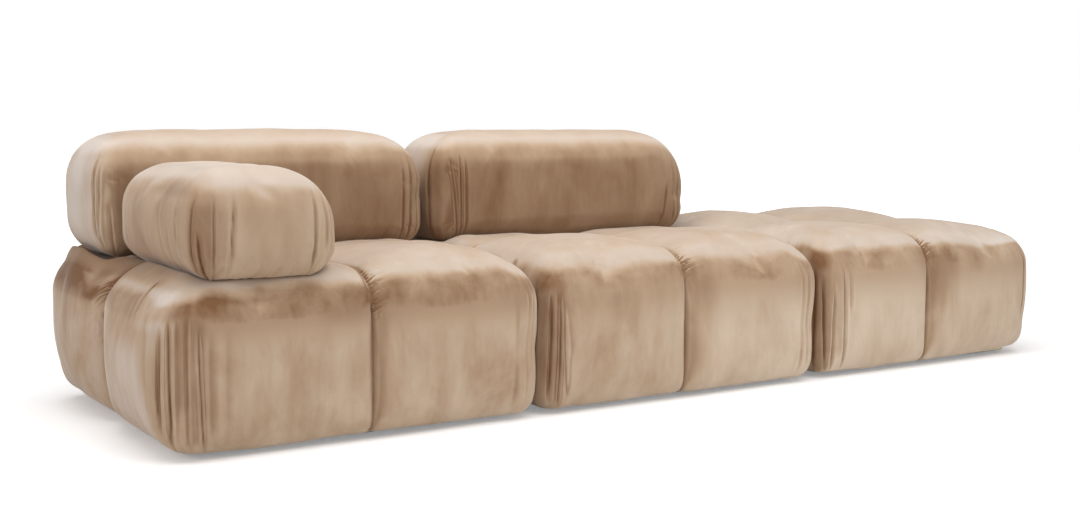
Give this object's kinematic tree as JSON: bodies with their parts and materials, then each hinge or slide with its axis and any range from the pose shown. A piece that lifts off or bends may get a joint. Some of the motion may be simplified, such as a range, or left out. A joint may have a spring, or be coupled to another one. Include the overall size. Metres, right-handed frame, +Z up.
{
  "type": "modular sofa",
  "caption": "Low modular sofa of tufted seat blocks clipped side by side, with loose back and arm cushions that stand on steel posts and lift off.",
  "frame": {"origin": "on the floor, under the centre of the row of seat modules", "axes": "+X along the row to the sitter's left, +Y from the front to the back cushions, +Z up"},
  "size_m": [2.9018, 0.964, 0.731],
  "materials": {
    "velvet": "matte",
    "soft_foam": "matte",
    "foam": "matte",
    "webbing": "matte",
    "dust_cloth": "matte",
    "cord": "matte",
    "timber": "matte",
    "plywood": "satin",
    "steel": "satin",
    "spring_steel": "satin",
    "zinc_screw": "satin",
    "nylon": "matte"
  },
  "bodies": {
    "seat_left": {"seat_cover_left": "velvet", "seat_topper_left": "soft_foam", "seat_core_left": "foam", "side_foam_left": "foam", "webbing_left": "webbing", "frame_left": "timber", "dust_cloth_left": "dust_cloth", "glides_left": "nylon", "glide_screws_left": "zinc_screw", "tuft_tie_left": "cord", "clip_screws_left": "zinc_screw", "back_sleeves_left": "steel", "arm_sleeves": "steel", "back_sleeve_screws_left": "zinc_screw", "arm_sleeve_screws": "zinc_screw", "clip_tongues_left": "spring_steel"},
    "seat_middle": {"seat_cover_middle": "velvet", "seat_topper_middle": "soft_foam", "seat_core_middle": "foam", "side_foam_middle": "foam", "webbing_middle": "webbing", "frame_middle": "timber", "dust_cloth_middle": "dust_cloth", "glides_middle": "nylon", "glide_screws_middle": "zinc_screw", "tuft_tie_middle": "cord", "clip_screws_middle": "zinc_screw", "back_sleeves_middle": "steel", "back_sleeve_screws_middle": "zinc_screw", "clip_jaws_left": "spring_steel", "clip_jaws_right": "spring_steel"},
    "seat_right": {"seat_cover_right": "velvet", "seat_topper_right": "soft_foam", "seat_core_right": "foam", "side_foam_right": "foam", "webbing_right": "webbing", "frame_right": "timber", "dust_cloth_right": "dust_cloth", "glides_right": "nylon", "glide_screws_right": "zinc_screw", "tuft_tie_right": "cord", "clip_screws_right": "zinc_screw", "clip_tongues_right": "spring_steel"},
    "back_left": {"back_cover_left": "velvet", "back_foam_left": "foam", "back_board_left": "plywood", "back_posts_left": "steel", "back_post_screws_left": "zinc_screw"},
    "back_middle": {"back_cover_middle": "velvet", "back_foam_middle": "foam", "back_board_middle": "plywood", "back_posts_middle": "steel", "back_post_screws_middle": "zinc_screw"},
    "arm": {"arm_cover": "velvet", "arm_foam": "foam", "arm_board": "plywood", "arm_posts": "steel", "arm_post_screws": "zinc_screw"}
  },
  "joints": [
    {"name": "left_module_slide", "type": "slide", "parent": "seat_middle", "child": "seat_left", "axis": [-1, 0, 0], "range_m": [0, 0.3]},
    {"name": "right_module_slide", "type": "slide", "parent": "seat_middle", "child": "seat_right", "axis": [1, 0, 0], "range_m": [0, 0.3]},
    {"name": "back_left_lift", "type": "slide", "parent": "seat_left", "child": "back_left", "axis": [0, 0, 1], "range_m": [0, 0.3]},
    {"name": "back_middle_lift", "type": "slide", "parent": "seat_middle", "child": "back_middle", "axis": [0, 0, 1], "range_m": [0, 0.3]},
    {"name": "arm_lift", "type": "slide", "parent": "seat_left", "child": "arm", "axis": [0, 0, 1], "range_m": [0, 0.3]}
  ]
}
